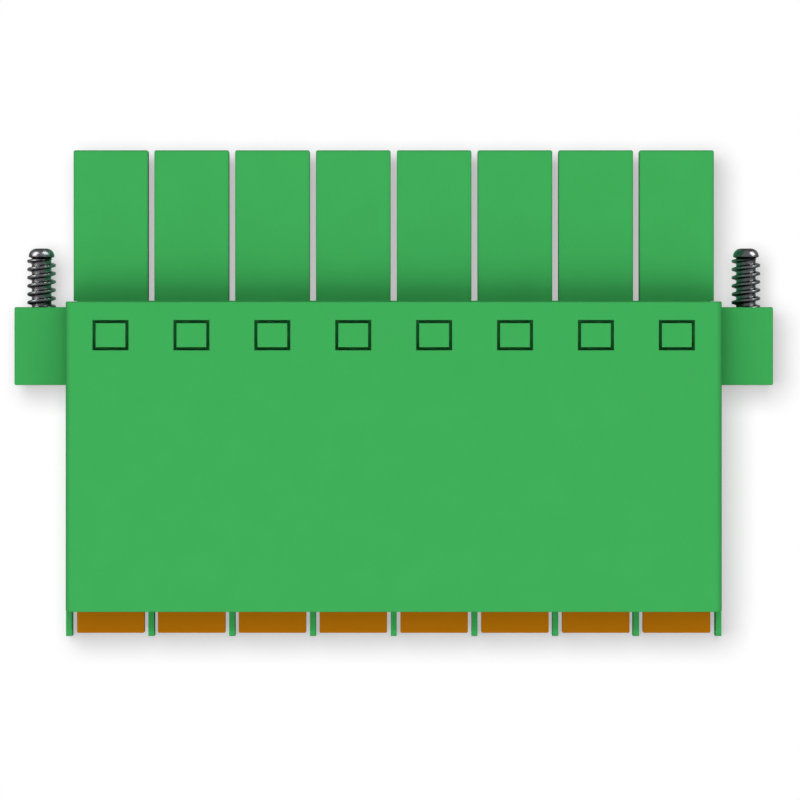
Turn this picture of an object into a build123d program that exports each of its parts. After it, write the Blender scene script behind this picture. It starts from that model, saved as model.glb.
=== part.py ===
from build123d import *
import math
import os

os.makedirs("parts", exist_ok=True)

# Pluggable terminal block: a push-in spring plug with a screw flange at each end.
# X runs along the row of poles, Y is the way the plug mates, Z is up, in millimetres.
# The origin lies under the middle of the plug, on the face that it stands on.

# Row of poles
poles = 8
pitch = 5.08

# Fits
running_clearance = 0.05  # each side of a piece that slides or turns
seat_clearance = 0.05  # each side of a piece that is pushed into its seat once
overrun = 1.0  # how far a cut runs past the face that it opens

# Housing shell
shell_length = 19.5
shell_height = 14.2
shell_edge_radius = 0.1
shell_side_radius = 0.42  # along the sides, at the top and the bottom
end_wall = 0.65
divider = 0.74  # wall between two poles
roof = 1.9
floor = 2.0
seat_depth = 4.76  # how far the carrier goes into the shell
seat_skin = 0.9  # roof and floor around the carrier

# Latch windows in the roof and the floor, filled by the carrier's tabs
window_width = 2.26
window_length = 1.9
window_setback = 2.12  # from the front edge to the middle of a window
window_gap = 0.195
tab_setdown = 0.03

# Wire entry below each button
mouth_sill = 1.9
mouth_height = 4.4
mouth_depth = 4.5
mouth_corner_radius = 0.3
funnel_depth = 0.7
throat_size = 3.0
throat_depth = 0.84
throat_corner_radius = 0.9
bridge = 1.1  # wall between the mouth and the button
bridge_length = 4.7
wire_cover = 0.3  # the part of that wall which goes on over the funnel

# Fins behind the walls between the poles, the outer two flush with the sides of the shell
fin_thickness = 0.37
fin_reach = 1.53
fin_drop = 2.4  # from the top of the shell
fin_foot = 0.5  # from the bottom of the shell
fin_tip_radius = 0.44
fin_root = 0.6  # how far it goes into the wall that carries it

# Release button
button_play = 0.1  # above and below
button_reach = 1.325  # past the back of the shell
button_travel = 1.2
button_front_room = 0.15  # to the spring's bend when it is pressed
button_nose_rise = 1.5  # height of the face that pushes the spring
button_edge_radius = 0.1
driver_recess_width = 2.2
driver_recess_height = 1.0
driver_recess_depth = 0.5

# Socket contact
bar_thickness = 0.5
contact_width = 2.9
riser_foot_reach = 0.2  # into the carrier
riser_run = 2.2
strip_bend_radius = 0.6
blade_thickness = 0.35
blade_height = 2.4
wing_length = 4.0
grip_setback = 3.2  # from the nose tip to where the blades grip the pin
grip_gap = 0.7
flare_setback = 1.6  # from the nose tip to the ends of the blades
flare_gap = 1.2
blade_bend_radius = 1.0

# Clamp spring
spring_thickness = 0.3
spring_width = 3.0
spring_bend_radius = 2.1
spring_bend_setback = 4.1  # from the wire block to the middle of the bend
spring_tip_setback = 1.8  # from the foot of the riser to the clamping edge
spring_hook_radius = 0.7
spring_hook_drop = 1.2

# Contact carrier and mating nose
nose_length = 9.51
nose_height = 7.0
nose_drop = 2.7  # from the top of the shell to the top of the nose
finger_gap = 0.39
finger_floor = 1.15
finger_roof = 1.1
finger_front = 1.0
finger_edge_radius = 0.12
carrier_front = 1.0  # wall of the block below the fingers
contact_side_clearance = 0.2
pin_slot_width = 1.6
pin_slot_height = 2.4
pin_lead_in = 0.5
rib_width = 0.7
rib_height = 0.5
rib_offset = 1.5  # from the middle of a finger
rib_setback = 0.8  # from the nose tip

# Screw flange
flange_width = 3.24
flange_length = 4.9
flange_height = 7.4
flange_setback = 0.35  # from the front of the shell
screw_offset = 1.57  # from the side of the shell to the screw's axis
collar_length = 1.2
front_bore_length = 1.5

# Flange screw
thread_diameter = 1.81
thread_clearance = 0.095
neck_diameter = 1.3
head_diameter = 2.5
head_height = 1.5
screw_reach = 3.7  # past the front of the flange
point_diameter = 1.63
point_length = 0.62  # smooth end in front of the thread
point_radius = 0.5
slot_width = 0.45
slot_depth = 0.7

# Places along X
pole_places = [(i - (poles - 1) / 2) * pitch for i in range(poles)]
cavity_width = pitch - divider
seat_width = (poles - 1) * pitch + cavity_width
shell_width = seat_width + 2 * end_wall
shell_side_x = shell_width / 2
end_fin_x = shell_side_x - fin_thickness / 2
fin_places = [-end_fin_x, *[(i - poles / 2) * pitch for i in range(1, poles)], end_fin_x]
screw_x = shell_side_x + screw_offset

# Places along Y
total_length = nose_length + shell_length + fin_reach
nose_tip_y = total_length / 2
shell_front_y = nose_tip_y - nose_length
shell_rear_y = shell_front_y - shell_length
fin_tip_y = shell_rear_y - fin_reach
button_rear_y = shell_rear_y - button_reach
seat_y = shell_front_y - seat_depth
window_y = shell_front_y - window_setback
bridge_front_y = shell_rear_y + bridge_length
funnel_y = shell_rear_y + mouth_depth
throat_y = funnel_y + funnel_depth
wire_block_y = throat_y + throat_depth
flange_front_y = shell_front_y - flange_setback
flange_rear_y = flange_front_y - flange_length
collar_front_y = flange_front_y - front_bore_length
collar_rear_y = collar_front_y - collar_length
screw_tip_y = flange_front_y + screw_reach
riser_foot_y = seat_y + riser_foot_reach
riser_head_y = riser_foot_y + riser_run
spring_tip_y = riser_foot_y - spring_tip_setback
spring_bend_y = wire_block_y + spring_bend_setback

# Heights
ceiling_z = shell_height - roof
mouth_top_z = mouth_sill + mouth_height
wire_block_z = mouth_top_z + wire_cover
slot_floor_z = mouth_top_z + bridge
nose_top_z = shell_height - nose_drop
nose_bottom_z = nose_top_z - nose_height
nose_axis_z = (nose_top_z + nose_bottom_z) / 2
finger_floor_z = nose_bottom_z + finger_floor
finger_roof_z = nose_top_z - finger_roof
bar_bottom_z = floor + seat_clearance
bar_top_z = bar_bottom_z + bar_thickness
plate_bottom_z = finger_floor_z + seat_clearance

# The clamp leg runs straight from its tip on the bar to the back of the bend
spring_bend_z = ceiling_z - seat_clearance - spring_thickness / 2 - spring_bend_radius
spring_tip_z = bar_top_z + seat_clearance + spring_thickness / 2
bend_from_tip_y = spring_bend_y - spring_tip_y
bend_from_tip_z = spring_bend_z - spring_tip_z
bend_from_tip = math.hypot(bend_from_tip_y, bend_from_tip_z)
leg_angle = math.atan2(bend_from_tip_z, bend_from_tip_y) + math.asin(spring_bend_radius / bend_from_tip)


def leg_back_y(z):
    """Where the back of the clamp leg is at height z, with room for the button."""
    middle = spring_tip_y + (z - spring_tip_z) / math.tan(leg_angle)
    return middle - (spring_thickness / 2 + running_clearance) / math.sin(leg_angle)


def across(face, width):
    """A solid of this width about the middle of a pole, from a face drawn in (y, z)."""
    return extrude(Plane.YZ * face, width / 2, both=True)


def along(face, rear_y, front_y):
    """A solid between two places along Y, from a face drawn in (x, z)."""
    return extrude(Plane.XZ.offset(-front_y) * face, front_y - rear_y)


def turned(outline, x):
    """A solid turned about a flange screw's axis, from a face drawn in (radius, y)."""
    return Pos(x, 0, nose_axis_z) * revolve(outline, Axis.Y)


def on_poles(shape):
    return [Pos(x, 0, 0) * shape for x in pole_places]


def housing_shell():
    section = Pos(0, shell_height / 2) * RectangleRounded(shell_width, shell_height, shell_side_radius)
    shell = along(section, shell_rear_y, shell_front_y)
    for end in (0, -1):
        shell = fillet(shell.faces().sort_by(Axis.Y)[end].edges(), shell_edge_radius)
    for side in (-1, 1):
        shell += flange(side)
    shell += [Pos(x, 0, 0) * fin() for x in fin_places]
    seat_middle = Pos(0, shell_height / 2) * Rectangle(seat_width, shell_height - 2 * seat_skin)
    shell -= along(seat_middle, seat_y, shell_front_y + overrun)
    shell -= on_poles(clamp_chamber())
    for entry in wire_entry():
        shell -= on_poles(entry)
    window = Box(window_width, window_length, shell_height + 2 * overrun)
    shell -= on_poles(Pos(0, window_y, shell_height / 2) * window)
    for side in (-1, 1):
        shell -= screw_bore(side)
    return shell


def flange(side):
    inner_x = shell_side_x - end_wall / 2
    outer_x = shell_side_x + flange_width
    block = Box(outer_x - inner_x, flange_length, flange_height)
    block = fillet(block.edges(), shell_edge_radius)
    return Pos(side * (inner_x + outer_x) / 2, (flange_front_y + flange_rear_y) / 2, nose_axis_z) * block


def screw_bore(side):
    head_bore = head_diameter / 2 + running_clearance
    neck_bore = neck_diameter / 2 + running_clearance
    thread_bore = thread_diameter / 2 + thread_clearance
    outline = Polygon(
        (0, flange_rear_y - overrun),
        (head_bore, flange_rear_y - overrun),
        (head_bore, collar_rear_y),
        (neck_bore, collar_rear_y),
        (neck_bore, collar_front_y),
        (thread_bore, collar_front_y),
        (thread_bore, flange_front_y + overrun),
        (0, flange_front_y + overrun),
        align=None,
    )
    return turned(outline, side * screw_x)


def fin():
    top_z = shell_height - fin_drop
    root_y = shell_rear_y + fin_root
    face = Rectangle(root_y - fin_tip_y, top_z - fin_foot)
    face = fillet(face.vertices().group_by(Axis.X)[0], fin_tip_radius)
    return across(Pos((root_y + fin_tip_y) / 2, (top_z + fin_foot) / 2) * face, fin_thickness)


def clamp_chamber():
    """The room for the clamp, open to the carrier in front and to the button slot at the back."""
    outline = Polygon(
        (seat_y + overrun, floor),
        (seat_y + overrun, ceiling_z),
        (shell_rear_y - overrun, ceiling_z),
        (shell_rear_y - overrun, slot_floor_z),
        (bridge_front_y, slot_floor_z),
        (bridge_front_y, wire_block_z),
        (wire_block_y, wire_block_z),
        (wire_block_y, floor),
        align=None,
    )
    return across(outline, cavity_width)


def wire_entry():
    """The mouth, the funnel and the throat that lead a wire on to the bar."""
    mouth_middle = Pos(0, mouth_sill + mouth_height / 2)
    throat_middle = Pos(0, bar_top_z + throat_size / 2)
    mouth = mouth_middle * RectangleRounded(cavity_width, mouth_height, mouth_corner_radius)
    throat = throat_middle * RectangleRounded(throat_size, throat_size, throat_corner_radius)
    funnel = loft([Plane.XZ.offset(-funnel_y) * mouth, Plane.XZ.offset(-throat_y) * throat])
    return [
        along(mouth, shell_rear_y - overrun, funnel_y),
        funnel,
        along(throat, throat_y, wire_block_y + overrun),
    ]


def contact_carrier():
    block_bottom_z = seat_skin + seat_clearance
    block_top_z = shell_height - seat_skin - seat_clearance
    block_front_y = shell_front_y + seat_clearance
    block_face = Pos(0, (block_bottom_z + block_top_z) / 2) * Rectangle(
        seat_width - 2 * seat_clearance, block_top_z - block_bottom_z
    )
    carrier = along(block_face, seat_y + seat_clearance, block_front_y)
    carrier += on_poles(finger(block_front_y))
    tab_height = shell_height - 2 * tab_setdown
    tab = Box(window_width - 2 * window_gap, window_length - 2 * window_gap, tab_height)
    carrier += on_poles(Pos(0, window_y, shell_height / 2) * tab)
    cavity_width_x = contact_width + 2 * contact_side_clearance
    wide = Pos(0, (floor + finger_roof_z) / 2) * Rectangle(cavity_width_x, finger_roof_z - floor)
    carrier -= on_poles(along(wide, seat_y - overrun, block_front_y - carrier_front))
    narrow = Pos(0, (finger_floor_z + finger_roof_z) / 2) * Rectangle(
        cavity_width_x, finger_roof_z - finger_floor_z
    )
    carrier -= on_poles(along(narrow, seat_y, nose_tip_y - finger_front))
    slot = Pos(0, nose_axis_z) * Rectangle(pin_slot_width, pin_slot_height)
    carrier -= on_poles(along(slot, nose_tip_y - 2 * finger_front, nose_tip_y + overrun))
    lead_in = Pos(0, nose_axis_z) * Rectangle(
        pin_slot_width + 2 * pin_lead_in, pin_slot_height + 2 * pin_lead_in
    )
    carrier -= on_poles(extrude(Plane.XZ.offset(-nose_tip_y) * lead_in, pin_lead_in, taper=45))
    return carrier


def finger(block_front_y):
    """One finger of the mating nose, with the two ribs under it that key the plug to its header."""
    face = Pos(0, nose_axis_z) * RectangleRounded(pitch - finger_gap, nose_height, finger_edge_radius)
    body = along(face, block_front_y, nose_tip_y)
    body = fillet(body.faces().sort_by(Axis.Y)[-1].edges(), finger_edge_radius)
    rib_face = Pos(0, nose_bottom_z) * Rectangle(rib_width, 2 * rib_height)
    rib = along(rib_face, block_front_y, nose_tip_y - rib_setback)
    return body + [Pos(side * rib_offset, 0, 0) * rib for side in (-1, 1)]


def socket_contact():
    bar_middle_z = bar_bottom_z + bar_thickness / 2
    plate_middle_z = plate_bottom_z + bar_thickness / 2
    wing_rear_y = riser_head_y + strip_bend_radius
    wing_front_y = wing_rear_y + wing_length
    strip_path = FilletPolyline(
        (wire_block_y + seat_clearance, bar_middle_z),
        (riser_foot_y, bar_middle_z),
        (riser_head_y, plate_middle_z),
        (wing_front_y, plate_middle_z),
        radius=strip_bend_radius,
    )
    contact = across(trace(strip_path, bar_thickness), contact_width)
    wing_x = (contact_width - blade_thickness) / 2
    blade_path = FilletPolyline(
        (wing_x, wing_rear_y),
        (wing_x, wing_front_y),
        ((grip_gap + blade_thickness) / 2, nose_tip_y - grip_setback),
        ((flare_gap + blade_thickness) / 2, nose_tip_y - flare_setback),
        radius=blade_bend_radius,
    )
    blade_bottom_z = nose_axis_z - blade_height / 2
    blade = Pos(0, 0, blade_bottom_z) * extrude(trace(blade_path, blade_thickness), blade_height)
    wing_height = blade_bottom_z + blade_height - plate_bottom_z
    wing_place = Pos(wing_x, (wing_rear_y + wing_front_y) / 2, plate_bottom_z + wing_height / 2)
    blade += wing_place * Box(blade_thickness, wing_length, wing_height)
    return contact + blade + mirror(blade, Plane.YZ)


def clamp_spring():
    bend_start = math.degrees(leg_angle) + 90
    hook_y = seat_y - spring_thickness / 2
    top_z = spring_bend_z + spring_bend_radius
    leg_end = (
        spring_bend_y + spring_bend_radius * math.cos(math.radians(bend_start)),
        spring_bend_z + spring_bend_radius * math.sin(math.radians(bend_start)),
    )
    path = Line((spring_tip_y, spring_tip_z), leg_end)
    path += CenterArc((spring_bend_y, spring_bend_z), spring_bend_radius, bend_start, 90 - bend_start)
    path += Line((spring_bend_y, top_z), (hook_y - spring_hook_radius, top_z))
    path += CenterArc((hook_y - spring_hook_radius, top_z - spring_hook_radius), spring_hook_radius, 90, -90)
    path += Line((hook_y, top_z - spring_hook_radius), (hook_y, top_z - spring_hook_radius - spring_hook_drop))
    return across(trace(path, spring_thickness), spring_width)


def release_button():
    bottom_z = slot_floor_z + button_play
    top_z = ceiling_z - button_play
    hook_y = bridge_front_y + running_clearance
    hook_bottom_z = wire_block_z + button_play
    nose_top = hook_bottom_z + button_nose_rise
    bend_back_y = spring_bend_y - spring_bend_radius - spring_thickness / 2
    head_front_y = bend_back_y - button_front_room - button_travel
    outline = Polygon(
        (button_rear_y, bottom_z),
        (hook_y, bottom_z),
        (hook_y, hook_bottom_z),
        (leg_back_y(hook_bottom_z), hook_bottom_z),
        (leg_back_y(nose_top), nose_top),
        (head_front_y, nose_top),
        (head_front_y, top_z),
        (button_rear_y, top_z),
        align=None,
    )
    button = across(outline, cavity_width - 2 * running_clearance)
    button = fillet(button.faces().sort_by(Axis.Y)[0].edges(), button_edge_radius)
    recess = Pos(0, (bottom_z + top_z) / 2) * Rectangle(driver_recess_width, driver_recess_height)
    return button - along(recess, button_rear_y - overrun, button_rear_y + driver_recess_depth)


def flange_screw(side):
    head_front_y = collar_rear_y - running_clearance
    head_rear_y = head_front_y - head_height
    thread_rear_y = collar_front_y + running_clearance
    outline = Polygon(
        (0, head_rear_y),
        (head_diameter / 2, head_rear_y),
        (head_diameter / 2, head_front_y),
        (neck_diameter / 2, head_front_y),
        (neck_diameter / 2, thread_rear_y),
        (thread_diameter / 2, thread_rear_y),
        (thread_diameter / 2, screw_tip_y - point_length),
        (point_diameter / 2, screw_tip_y - point_length),
        (point_diameter / 2, screw_tip_y),
        (0, screw_tip_y),
        align=None,
    )
    screw = turned(outline, side * screw_x)
    screw = fillet(screw.faces().sort_by(Axis.Y)[-1].edges(), point_radius)
    slot = Box(2 * head_diameter, 2 * slot_depth, slot_width)
    return screw - Pos(side * screw_x, head_rear_y, nose_axis_z) * slot


def save(name, shape):
    export_step(shape, os.path.join("parts", f"{name}.step"))


save("housing_shell", housing_shell())
save("contact_carrier", contact_carrier())
save("flange_screw_left", flange_screw(-1))
save("flange_screw_right", flange_screw(1))
for name, piece in (
    ("socket_contact", socket_contact()),
    ("clamp_spring", clamp_spring()),
    ("release_button", release_button()),
):
    for number, copy in enumerate(on_poles(piece), start=1):
        save(f"{name}_{number}", copy)
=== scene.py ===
import math

import bmesh
import bpy
from mathutils import Matrix, Vector


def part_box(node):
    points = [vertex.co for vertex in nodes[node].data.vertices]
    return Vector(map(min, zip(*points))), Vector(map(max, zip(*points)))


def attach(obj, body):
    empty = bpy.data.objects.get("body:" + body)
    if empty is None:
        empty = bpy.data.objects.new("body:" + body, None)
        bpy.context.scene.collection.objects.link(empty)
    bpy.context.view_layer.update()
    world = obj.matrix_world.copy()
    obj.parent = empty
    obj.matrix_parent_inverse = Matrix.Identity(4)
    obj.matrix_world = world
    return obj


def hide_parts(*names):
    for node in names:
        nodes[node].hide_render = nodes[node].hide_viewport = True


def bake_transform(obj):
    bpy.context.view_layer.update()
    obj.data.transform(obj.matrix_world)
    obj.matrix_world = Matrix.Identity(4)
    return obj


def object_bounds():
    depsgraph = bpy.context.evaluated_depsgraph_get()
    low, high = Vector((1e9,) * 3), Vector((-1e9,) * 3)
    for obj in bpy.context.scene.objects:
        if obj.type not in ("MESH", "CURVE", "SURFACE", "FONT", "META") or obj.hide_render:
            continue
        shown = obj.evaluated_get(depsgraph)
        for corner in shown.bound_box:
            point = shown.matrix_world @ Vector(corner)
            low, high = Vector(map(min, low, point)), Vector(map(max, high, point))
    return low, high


# Look of the pluggable terminal block, in metres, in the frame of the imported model.
# X runs along the row of poles, Y is the way the plug mates, Z is up.

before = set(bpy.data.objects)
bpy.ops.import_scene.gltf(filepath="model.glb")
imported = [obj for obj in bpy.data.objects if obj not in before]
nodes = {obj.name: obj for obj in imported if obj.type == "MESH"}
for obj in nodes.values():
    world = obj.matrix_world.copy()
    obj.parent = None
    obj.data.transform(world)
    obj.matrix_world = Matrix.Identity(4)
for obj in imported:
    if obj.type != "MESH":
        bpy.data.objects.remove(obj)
cad_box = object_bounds()
poles = sum(name.startswith("release_button_") for name in nodes)

MM = 0.001

# Camera, straight above the plug
lens_mm = 1600
sensor_mm = 36
view_width = 50.23 * MM  # at the height of the plug's top
view_middle_x = 0.395 * MM
view_middle_y = -0.43 * MM

# Flange screws
head_height = 1.5 * MM
head_round = 0.15 * MM
neck_diameter = 1.3 * MM
neck_length = 1.3 * MM
thread_diameter = 1.81 * MM
thread_root_diameter = 1.24 * MM
thread_pitch = 0.52 * MM
crest_width = 0.12 * MM
flank_width = 0.11 * MM  # along the axis, from root to crest
thread_runout = 0.3 * MM  # at the neck
thread_end = 0.1 * MM  # at the point
point_diameter = 1.63 * MM
point_length = 0.62 * MM
point_round = 0.5 * MM
point_back = 0.1 * MM
slot_width = 0.45 * MM
slot_depth = 0.7 * MM

# Fineness of the screws' meshes
ring_points = 48
rings_per_turn = 24
head_edge_rings = 6
point_back_rings = 4
point_round_rings = 12
head_face_step = 0.001 * MM  # along the axis, from the rim of the head's front face to the neck

# Clamp springs
spring_bands = 14  # that a spring is cut into, so that it bends smoothly
weld_distance = 0.001 * MM
cut_tolerance = 0.0005 * MM

# Edges
sharp_angle = math.radians(40)  # an edge that turns further stays sharp
soft_edge = 0.06 * MM  # radius that the plastic's edges seem to have

# Plastic
cloud_size = 2.4 * MM
speck_size = 0.07 * MM
speck_depth = 0.002 * MM
speck_gain = 1.12  # times the plastic's own colour
speck_haze = 0.004  # added to it
grain_size = 0.16 * MM
grain_depth = 0.006 * MM

# Metal
line_size = 0.06 * MM
line_depth = 0.0015 * MM
stain_size = 0.9 * MM
mottle_size = 0.25 * MM
mottle_depth = 0.002 * MM
# Crests of the thread are painted brighter: partly rubbing wear, partly a painted highlight
rubbed_and_highlit_depth = 0.07 * MM  # below the crests of the thread

# Light on the whole plug
dome_size = 5
dome_height = 0.3
dome_radiance = 0.79
key_place = (-0.08, -0.29, 0.52)
key_size = 0.35
key_radiance = 2.54

# Place, size and radiance of the panels that glint on each screw
glints = {
    "left": [((-0.45, 0.3, 0.13), 0.5, 12), ((0.25, 0.36, 0.23), 0.22, 60)],
    "right": [((0.45, 0.3, 0.13), 0.36, 18)],
}

# Green light from the side of the nose on the screw beside it
sheen_colour = (0.24, 1, 0.5)
sheen_radiance = 0.9
sheen_offset = 2 * MM  # from the screw's axis
sheen_length = 10 * MM
sheen_height = 8 * MM

# Panels before and behind the plug that light the contacts and clamps inside
inner_places = [(0, 0.5, 0.18), (0, -0.5, 0.18)]
inner_width = 1
inner_height = 0.34
inner_radiance = 6

# Floor and the sun that shines on it alone
floor_size = 6
floor_drop = 0.02 * MM  # below the plug
floor_shadow = 0.585  # share of the floor's brightness that a shadow can take away
sun_spread = math.radians(15)
sun_tilt_left = math.radians(2.9)
sun_tilt_front = math.radians(2.7)


def middle(low, high):
    return [(a + b) / 2 for a, b in zip(low, high)]


# Shader nodes

def material_with(name):
    """A new material, its node tree and its Principled shader."""
    material = bpy.data.materials.new(name)
    material.use_nodes = True
    return material, material.node_tree, material.node_tree.nodes["Principled BSDF"]


def place_of(tree):
    """The place on the piece, in metres."""
    return tree.nodes.new("ShaderNodeTexCoord").outputs["Object"]


def vector_math(tree, operation, vector, value):
    node = tree.nodes.new("ShaderNodeVectorMath")
    node.operation = operation
    node.inputs[1].default_value = value
    tree.links.new(vector, node.inputs[0])
    return node.outputs["Vector"]


def distance_from_axis(tree, place, axis_x, axis_z):
    """Distance of the place from an axis along Y."""
    offset = vector_math(tree, "SUBTRACT", place, (axis_x, 0, axis_z))
    across = vector_math(tree, "MULTIPLY", offset, (1, 0, 1))
    length = tree.nodes.new("ShaderNodeVectorMath")
    length.operation = "LENGTH"
    tree.links.new(across, length.inputs[0])
    return length.outputs["Value"]


def noise(tree, place, size, detail):
    node = tree.nodes.new("ShaderNodeTexNoise")
    node.inputs["Scale"].default_value = 1 / size
    node.inputs["Detail"].default_value = detail
    tree.links.new(place, node.inputs["Vector"])
    return node.outputs["Fac"]


def spread(tree, value, low, high, start=0.3, end=0.7):
    """The value between start and end, spread from low to high."""
    node = tree.nodes.new("ShaderNodeMapRange")
    node.inputs["From Min"].default_value = start
    node.inputs["From Max"].default_value = end
    node.inputs["To Min"].default_value = low
    node.inputs["To Max"].default_value = high
    tree.links.new(value, node.inputs["Value"])
    return node.outputs["Result"]


def blend_colours(tree, share, first, second):
    """From the first colour at a share of 0 to the second at 1, each a colour or a node's output."""
    node = tree.nodes.new("ShaderNodeMix")
    node.data_type = "RGBA"
    tree.links.new(share, node.inputs["Factor"])
    colour_inputs = [socket for socket in node.inputs if socket.type == "RGBA"]
    for socket, colour in zip(colour_inputs, (first, second)):
        if isinstance(colour, bpy.types.NodeSocket):
            tree.links.new(colour, socket)
        else:
            socket.default_value = (*colour, 1)
    return next(socket for socket in node.outputs if socket.type == "RGBA")


def bump(tree, shader, heights, edge=0):
    """Chains softened edges and bumps, each a height from 0 to 1 and its depth, into the shader's normal."""
    normal = None
    if edge:
        softened = tree.nodes.new("ShaderNodeBevel")
        softened.inputs["Radius"].default_value = edge
        normal = softened.outputs["Normal"]
    for height, depth in heights:
        node = tree.nodes.new("ShaderNodeBump")
        node.inputs["Distance"].default_value = depth
        tree.links.new(height, node.inputs["Height"])
        if normal:
            tree.links.new(normal, node.inputs["Normal"])
        normal = node.outputs["Normal"]
    tree.links.new(normal, shader.inputs["Normal"])


def seen_directly(tree):
    """1 for rays from the camera, a reflection or a refraction, and 0 for light that spreads."""
    path = tree.nodes.new("ShaderNodeLightPath")
    total = path.outputs["Is Camera Ray"]
    for name in ("Is Glossy Ray", "Is Transmission Ray"):
        node = tree.nodes.new("ShaderNodeMath")
        node.operation = "MAXIMUM"
        tree.links.new(total, node.inputs[0])
        tree.links.new(path.outputs[name], node.inputs[1])
        total = node.outputs["Value"]
    return total


# Materials

def moulded_plastic(name, colour, cloud, gloss, roughness):
    """Satin polyamide: a cloudy colour, fine pale specks of filler and the grain of the mould."""
    material, tree, shader = material_with(name)
    place = place_of(tree)
    clouds = noise(tree, place, cloud_size, detail=3)
    specks = noise(tree, place, speck_size, detail=1)
    grain = noise(tree, place, grain_size, detail=3)
    clouded = blend_colours(tree, spread(tree, clouds, 0, 1), cloud, colour)
    pale = [min(1, speck_gain * c + speck_haze) for c in colour]
    speck_share = spread(tree, specks, 0, 0.5, start=0.58, end=0.8)
    tree.links.new(blend_colours(tree, speck_share, clouded, pale), shader.inputs["Base Color"])
    tree.links.new(spread(tree, grain, *roughness), shader.inputs["Roughness"])
    shader.inputs["Specular IOR Level"].default_value = gloss
    bump(tree, shader, [(grain, grain_depth), (specks, speck_depth)], edge=soft_edge)
    return material


def rolled_metal(name, colour, stained, roughness, stretch):
    """Strip metal: lines along the rolling direction and a faint uneven stain."""
    material, tree, shader = material_with(name)
    place = place_of(tree)
    lines = noise(tree, vector_math(tree, "MULTIPLY", place, stretch), line_size, detail=3)
    stain = noise(tree, place, stain_size, detail=3)
    stain_share = spread(tree, stain, 0, 1, start=0.4, end=0.75)
    tree.links.new(blend_colours(tree, stain_share, colour, stained), shader.inputs["Base Color"])
    tree.links.new(spread(tree, lines, *roughness), shader.inputs["Roughness"])
    shader.inputs["Metallic"].default_value = 1
    bump(tree, shader, [(lines, line_depth)])
    return material


def blackened_steel(name, colour, mottled, rubbed_and_highlit, roughness, axis_x, axis_z):
    """Mottled dark steel, with rubbing wear and a painted highlight on the thread's crests and the head's
    rim.
    """
    material, tree, shader = material_with(name)
    place = place_of(tree)
    radius = distance_from_axis(tree, place, axis_x, axis_z)
    crest = thread_diameter / 2
    # Painted highlight and rubbing wear: brighter from just below the crests outwards
    rubbed_and_highlit_share = spread(tree, radius, 0, 0.8, start=crest - rubbed_and_highlit_depth, end=crest)
    mottle = noise(tree, place, mottle_size, detail=4)
    uneven = blend_colours(tree, spread(tree, mottle, 0, 1), colour, mottled)
    tree.links.new(blend_colours(tree, rubbed_and_highlit_share, uneven, rubbed_and_highlit), shader.inputs["Base Color"])
    tree.links.new(spread(tree, mottle, *roughness), shader.inputs["Roughness"])
    shader.inputs["Metallic"].default_value = 1
    bump(tree, shader, [(mottle, mottle_depth)])
    return material


def glowing_floor():
    """White where nothing shades it, with a share of its brightness left to the sun."""
    material, tree, shader = material_with("pale_floor")
    tree.nodes.remove(shader)
    glow = tree.nodes.new("ShaderNodeEmission")
    tree.links.new(seen_directly(tree), glow.inputs["Strength"])
    lit = tree.nodes.new("ShaderNodeBsdfDiffuse")
    lit.inputs["Color"].default_value = (1, 1, 1, 1)
    both = tree.nodes.new("ShaderNodeMixShader")
    share, first, second = both.inputs
    share.default_value = floor_shadow
    tree.links.new(glow.outputs["Emission"], first)
    tree.links.new(lit.outputs["BSDF"], second)
    tree.links.new(both.outputs["Shader"], tree.nodes["Material Output"].inputs["Surface"])
    return material


# Pieces

def dress(name, material):
    mesh = nodes[name].data
    mesh.materials.clear()
    mesh.materials.append(material)


def mesh_piece(name, shape, material=None):
    """An object from a bmesh, which is freed."""
    mesh = bpy.data.meshes.new(name)
    shape.to_mesh(mesh)
    shape.free()
    if material:
        mesh.materials.append(material)
    piece = bpy.data.objects.new(name, mesh)
    bpy.context.collection.objects.link(piece)
    return piece


def smooth_shading(piece):
    for face in piece.data.polygons:
        face.use_smooth = True
    piece.data.set_sharp_from_angle(angle=sharp_angle)


# Flange screws with their real thread

def smooth(share):
    """The share kept from 0 to 1 and eased at both ends."""
    share = min(1, max(0, share))
    return share * share * (3 - 2 * share)


def point_radius(y):
    """Radius of the smooth rounded point at y from where the thread ends."""
    root = thread_root_diameter / 2
    full = point_diameter / 2
    into_round = y - (point_length - point_round)
    if into_round > 0:
        return full - point_round + math.sqrt(max(0, point_round**2 - into_round**2))
    return root + (full - root) * smooth(y / point_back)


def screw_radius(y, turn, head_radius, length):
    """Radius of the screw at y from the back of its head, turn being the share of a turn about +Y."""
    thread_start = head_height + neck_length
    if y <= head_height:
        edge = min(y, head_height - y)
        if edge >= head_round:
            return head_radius
        return head_radius - head_round + math.sqrt(head_round**2 - (head_round - edge) ** 2)
    if y <= thread_start:
        return neck_diameter / 2
    point_start = length - point_length
    if y >= point_start:
        return point_radius(y - point_start)
    root = thread_root_diameter / 2
    from_crest = abs((y / thread_pitch - turn + 0.5) % 1 - 0.5) * thread_pitch
    rise = smooth(1 - (from_crest - crest_width / 2) / flank_width)
    rise *= smooth((y - thread_start) / thread_runout) * smooth((point_start - y) / thread_end)
    return root + rise * (thread_diameter / 2 - root)


def even_steps(start, length, count):
    """Places at even steps over a length, the start itself left out."""
    return [start + length * (i + 1) / count for i in range(count)]


def quarter_turn(count):
    """Angles at even steps from 0 to a right angle."""
    return [math.pi / 2 * i / count for i in range(count + 1)]


def screw_stations(length):
    """Places along the screw, close together on its rounded edges and its thread."""
    edge = [head_round * (1 - math.cos(angle)) for angle in quarter_turn(head_edge_rings)]
    stations = edge + [head_height - y for y in reversed(edge)]
    thread_start = head_height + neck_length
    stations += [head_height + head_face_step, thread_start]
    point_start = length - point_length
    thread_length = point_start - thread_start
    thread_rings = round(thread_length / thread_pitch * rings_per_turn)
    stations += even_steps(thread_start, thread_length, thread_rings)
    stations += even_steps(point_start, point_back, point_back_rings)
    round_start = length - point_round
    stations += [round_start + point_round * math.sin(angle) for angle in quarter_turn(point_round_rings)]
    return stations


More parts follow.
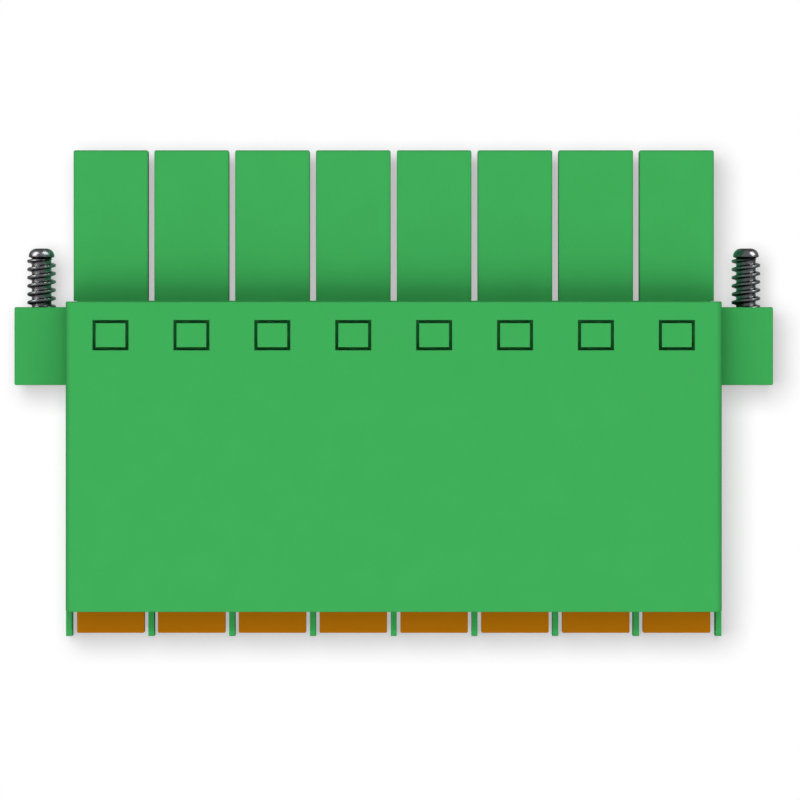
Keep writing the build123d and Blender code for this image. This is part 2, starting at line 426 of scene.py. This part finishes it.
def cut_slot(screw, head_middle, head_radius):
    """Cuts the driver slot across the back of the head."""
    cutter_shape = bmesh.new()
    bmesh.ops.create_cube(cutter_shape, size=1)
    # The cutter reaches past both sides of the head, and half its depth lies behind it
    size = Matrix.Diagonal((3 * head_radius, 2 * slot_depth, slot_width, 1))
    cutter_shape.transform(Matrix.Translation(head_middle) @ size)
    cutter = mesh_piece("slot_cutter", cutter_shape)
    cut = screw.modifiers.new("slot", "BOOLEAN")
    cut.operation = "DIFFERENCE"
    cut.solver = "EXACT"
    cut.object = cutter
    evaluated = screw.evaluated_get(bpy.context.evaluated_depsgraph_get())
    mesh = bpy.data.meshes.new_from_object(evaluated)
    screw.modifiers.clear()
    screw.data = mesh
    bpy.data.objects.remove(cutter)


def threaded_screw(side):
    node = f"flange_screw_{side}"
    low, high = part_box(node)
    axis_x, _, axis_z = middle(low, high)
    length = high[1] - low[1]
    head_radius = (high[0] - low[0]) / 2
    material = blackened_steel(
        f"dark_steel_{side}",
        colour=(0.065, 0.066, 0.07),
        mottled=(0.1, 0.1, 0.106),
        # colour of the painted highlight and rubbing wear on the crests and the head's rim
        rubbed_and_highlit=(0.105, 0.105, 0.11),
        roughness=(0.2, 0.34),
        axis_x=axis_x,
        axis_z=axis_z,
    )
    shape = bmesh.new()
    rings = []
    for y in screw_stations(length):
        ring = []
        for i in range(ring_points):
            turn = i / ring_points
            radius = screw_radius(y, turn, head_radius, length)
            angle = 2 * math.pi * turn
            place = (axis_x + radius * math.sin(angle), low[1] + y, axis_z + radius * math.cos(angle))
            ring.append(shape.verts.new(place))
        rings.append(ring)
    for rear, front in zip(rings, rings[1:]):
        for i in range(ring_points):
            j = (i + 1) % ring_points
            shape.faces.new((rear[i], rear[j], front[j], front[i]))
    shape.faces.new(list(reversed(rings[0])))
    shape.faces.new(rings[-1])
    bmesh.ops.recalc_face_normals(shape, faces=shape.faces)
    screw = mesh_piece(f"threaded_{node}", shape, material)
    cut_slot(screw, (axis_x, low[1], axis_z), head_radius)
    smooth_shading(screw)
    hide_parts(node)
    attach(screw, f"screw_{side}")
    return screw


# Clamp springs, cut into bands along their height

def bending_spring(number, material):
    node = f"clamp_spring_{number}"
    low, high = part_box(node)
    shape = bmesh.new()
    shape.from_mesh(nodes[node].data)
    bmesh.ops.remove_doubles(shape, verts=shape.verts, dist=weld_distance)
    for i in range(1, spring_bands):
        height = low[2] + (high[2] - low[2]) * i / spring_bands
        bmesh.ops.bisect_plane(
            shape,
            geom=shape.verts[:] + shape.edges[:] + shape.faces[:],
            plane_co=(0, 0, height),
            plane_no=(0, 0, 1),
            dist=cut_tolerance,
        )
    spring = mesh_piece(f"bending_{node}", shape, material)
    smooth_shading(spring)
    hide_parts(node)
    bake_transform(spring)
    return spring


# Floor, light and camera

def pale_floor():
    shape = bmesh.new()
    bmesh.ops.create_grid(shape, x_segments=1, y_segments=1, size=floor_size / 2)
    shape.transform(Matrix.Translation((0, 0, cad_box[0][2] - floor_drop)))
    floor = mesh_piece("floor", shape, glowing_floor())
    return floor


def white_world():
    world = bpy.data.worlds.new("studio")
    bpy.context.scene.world = world
    world.use_nodes = True
    background = world.node_tree.nodes["Background"]
    background.inputs["Color"].default_value = (1, 1, 1, 1)
    world.node_tree.links.new(seen_directly(world.node_tree), background.inputs["Strength"])


def lamp(name, kind, place, target=(0, 0, 0)):
    data = bpy.data.lights.new(name, kind)
    light = bpy.data.objects.new(name, data)
    light.location = place
    light.rotation_euler = (Vector(target) - Vector(place)).to_track_quat("-Z", "Y").to_euler()
    light.visible_camera = False
    bpy.context.collection.objects.link(light)
    return light


def panel(name, place, width, height, radiance, target=(0, 0, 0)):
    light = lamp(name, "AREA", place, target)
    light.data.shape = "RECTANGLE"
    light.data.size = width
    light.data.size_y = height
    light.data.energy = radiance * math.pi * width * height
    return light


def light_group(name, pieces, state):
    """A group that takes these pieces into a lamp's light or keeps them out of it."""
    group = bpy.data.collections.new(name)
    for piece in pieces:
        group.objects.link(piece)
    for member in group.collection_objects:
        member.light_linking.link_state = state
    return group


def sheen_panel(side):
    """A green panel beside the tip of a screw, on the side of the nose."""
    low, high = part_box(f"flange_screw_{side}")
    axis_x, _, axis_z = middle(low, high)
    tip = (axis_x, high[1], axis_z)
    beside_tip = (axis_x - math.copysign(sheen_offset, axis_x), high[1], axis_z)
    sheen = panel("sheen", beside_tip, sheen_length, sheen_height, sheen_radiance, target=tip)
    sheen.data.color = sheen_colour
    return sheen


def light_plug(floor):
    """Soft light from above. It stops where it first falls, so none goes on to tint the floor green."""
    all_but_floor = light_group("all_but_floor", [floor], "EXCLUDE")
    dome = panel("dome", (0, 0, dome_height), dome_size, dome_size, dome_radiance)
    key = panel("key", key_place, key_size, key_size, key_radiance)
    for light in (dome, key):
        light.visible_glossy = False
        light.data.cycles.max_bounces = 0
        light.data.cycles.use_multiple_importance_sampling = False
        light.light_linking.receiver_collection = all_but_floor


def light_screw(side, screw):
    """Highlights and a green sheen that fall on this screw alone, shaded by nothing else."""
    screw_only = light_group(f"{side}_screw_only", [screw], "INCLUDE")
    lights = [panel("glint", place, size, size, radiance) for place, size, radiance in glints[side]]
    for light in lights + [sheen_panel(side)]:
        light.light_linking.receiver_collection = screw_only
        light.light_linking.blocker_collection = screw_only


def light_inside(inner_metal):
    inner_metal_only = light_group("inner_metal_only", inner_metal, "INCLUDE")
    for place in inner_places:
        inner = panel("inner", place, inner_width, inner_height, inner_radiance)
        inner.light_linking.receiver_collection = inner_metal_only


def light_floor(floor):
    """A wide sun, nearly overhead, that draws the plug's soft shadow."""
    sun = lamp("floor_sun", "SUN", (-math.tan(sun_tilt_left), math.tan(sun_tilt_front), 1))
    sun.data.angle = sun_spread
    sun.data.energy = math.pi  # at which a white floor renders as white
    sun.data.cycles.max_bounces = 0
    sun.light_linking.receiver_collection = light_group("floor_only", [floor], "INCLUDE")


def camera_above():
    data = bpy.data.cameras.new("camera")
    data.lens = lens_mm
    data.sensor_width = sensor_mm
    camera = bpy.data.objects.new("camera", data)
    distance = view_width * lens_mm / sensor_mm
    camera.location = (view_middle_x, view_middle_y, cad_box[1][2] + distance)
    data.clip_start = distance / 2
    data.clip_end = 2 * distance
    bpy.context.collection.objects.link(camera)
    return camera


# The plug

green = moulded_plastic(
    "green_plastic",
    colour=(0.05, 0.413, 0.0997),
    cloud=(0.0477, 0.399, 0.0954),
    gloss=0.15,
    roughness=(0.48, 0.62),
)
orange = moulded_plastic(
    "orange_plastic",
    colour=(0.445, 0.158, 0.0032),
    cloud=(0.425, 0.15, 0.003),
    gloss=0.03,
    roughness=(0.48, 0.62),
)
tin = rolled_metal(
    "tinned_copper",
    colour=(0.74, 0.73, 0.7),
    stained=(0.6, 0.58, 0.54),
    roughness=(0.22, 0.4),
    stretch=(1, 0.06, 1),
)
steel = rolled_metal(
    "spring_steel",
    colour=(0.62, 0.62, 0.61),
    stained=(0.52, 0.51, 0.5),
    roughness=(0.18, 0.36),
    stretch=(1, 0.05, 0.05),
)
dress("housing_shell", green)
dress("contact_carrier", green)
inner_metal = []
for number in range(1, poles + 1):
    dress(f"release_button_{number}", orange)
    dress(f"socket_contact_{number}", tin)
    inner_metal += [nodes[f"socket_contact_{number}"], bending_spring(number, steel)]
screws = {side: threaded_screw(side) for side in ("left", "right")}

# The studio

floor = pale_floor()
white_world()
light_plug(floor)
for side, screw in screws.items():
    light_screw(side, screw)
light_inside(inner_metal)
light_floor(floor)
bpy.context.scene.camera = camera_above()
bpy.context.scene.view_settings.view_transform = "Standard"
